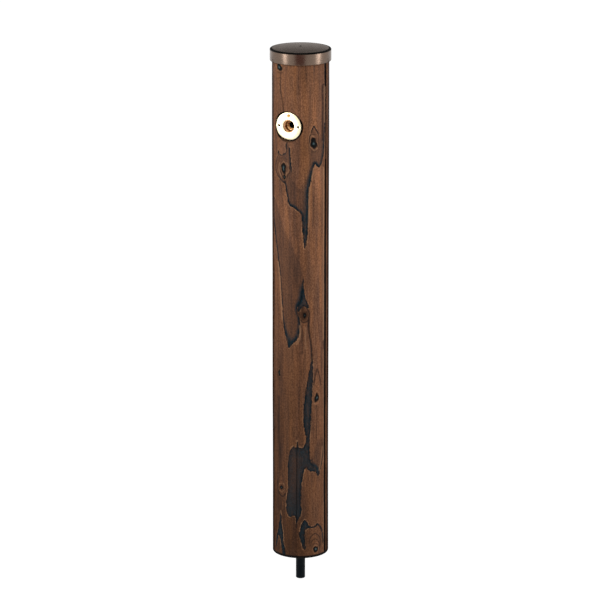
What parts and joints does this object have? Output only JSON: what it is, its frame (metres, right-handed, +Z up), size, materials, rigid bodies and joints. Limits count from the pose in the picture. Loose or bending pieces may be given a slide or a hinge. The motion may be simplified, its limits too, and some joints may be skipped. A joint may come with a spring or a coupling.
{
  "type": "garden standpipe",
  "caption": "Round charred-log garden standpipe with a domed metal cap, a recessed brass flange round a threaded tap outlet, and a plastic supply pipe leaving its foot.",
  "frame": {"origin": "centre of the log's bottom end, on the pipe's axis, where the post meets its footing", "axes": "+Z up along the log, -Y out of the tap outlet, +X to the right when seen from the rear; the two log halves meet on the plane y = 0"},
  "size_m": [0.116, 0.116, 1.0587],
  "materials": {
    "charred_wood": "charred and stained, satin",
    "plug_wood": "oiled",
    "cap_paint": "bronze-brown, semi-gloss",
    "dark_steel": "blackened",
    "zinc_steel": "zinc plated",
    "brass": "turned, lightly polished",
    "bronze": "cast, machined at the neck",
    "pipe_plastic": "dark blue-black, extruded",
    "rubber": "black",
    "foam": "closed-cell foam, matt"
  },
  "bodies": {
    "post": {"front_log_half": "charred_wood", "rear_log_half": "charred_wood", "joining_screws": "zinc_steel", "screw_plugs": "plug_wood", "core_plug": "plug_wood", "tap_elbow": "bronze", "elbow_locknut": "brass", "locknut_washer": "zinc_steel", "pipe_adapter": "pipe_plastic", "supply_pipe": "pipe_plastic", "foam_sleeve": "foam", "pipe_bush": "rubber"},
    "cap": {"cap_shell": "cap_paint", "cap_screw": "dark_steel"},
    "gasket": {"flange_gasket": "rubber"},
    "nut": {"flange_nut": "brass"}
  },
  "joints": [
    {"name": "cap_lift", "type": "slide", "parent": "post", "child": "cap", "axis": [0, 0, 1], "range_m": [0, 0.06]},
    {"name": "nut_travel", "type": "slide", "parent": "post", "child": "gasket", "axis": [0, -1, 0], "range_m": [0, 0.00889]},
    {"name": "nut_turn", "type": "hinge", "parent": "gasket", "child": "nut", "pos_m": [0, -0.0467, 0.8554], "axis": [0, -1, 0], "range_deg": [0, 2519]}
  ],
  "couplings": [
    {"joint": "nut_travel", "follows": "nut_turn", "m_per_rad": 0.00020213}
  ]
}
